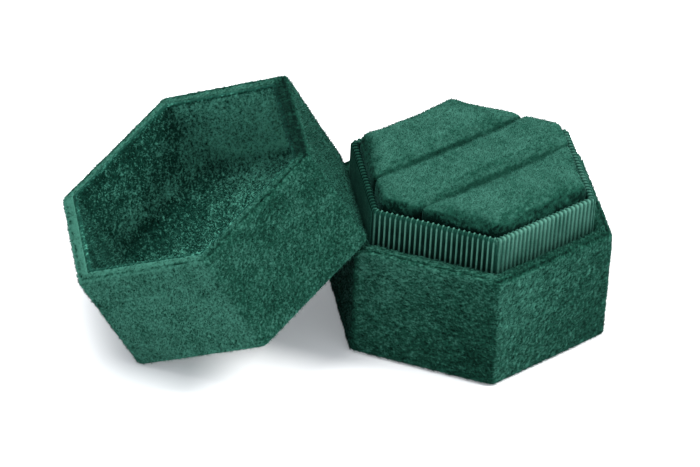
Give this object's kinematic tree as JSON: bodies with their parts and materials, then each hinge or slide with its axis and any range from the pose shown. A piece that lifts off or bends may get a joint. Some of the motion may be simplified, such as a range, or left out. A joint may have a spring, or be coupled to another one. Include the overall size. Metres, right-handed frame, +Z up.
{
  "type": "ring box",
  "caption": "Hexagonal velvet ring box with a ribbed collar, three cushions with two ring slots, and a lift-off lid lying tipped against its rim.",
  "frame": {"origin": "middle of the lower shell's underside, on the surface the box stands on", "axes": "+Z up out of the box, +X out of the flat face opposite the tipped lid, +Y towards a corner of the hexagon at the rear"},
  "size_m": [0.0971, 0.0544, 0.043],
  "materials": {
    "velvet": "emerald velvet, short pile",
    "velvet_lining": "emerald velvet lining, short pile",
    "ribbed_fabric": "ribbed grosgrain",
    "foam": "soft foam",
    "board": "grey board",
    "bottom_paper": "matt dark paper"
  },
  "bodies": {
    "base": {"base_wall_board": "board", "base_floor_board": "board", "base_velvet_wrap": "velvet", "base_bottom_cover": "bottom_paper", "collar_board": "board", "collar_ribbed_fabric": "ribbed_fabric", "insert_card": "board", "rear_pad_foam": "foam", "rear_pad_velvet": "velvet", "middle_pad_foam": "foam", "middle_pad_velvet": "velvet", "front_pad_foam": "foam", "front_pad_velvet": "velvet"},
    "lid": {"lid_wall_board": "board", "lid_top_board": "board", "lid_velvet_wrap": "velvet", "lid_top_velvet": "velvet", "lid_wall_lining": "velvet_lining", "lid_ceiling_card": "board", "lid_ceiling_lining": "velvet_lining"}
  },
  "joints": [
    {"name": "lid_swing", "type": "hinge", "parent": "base", "child": "lid", "pos_m": [-0.02673, 0, 0.03889], "axis": [0, 1, 0], "range_deg": [0, 210.9]}
  ]
}
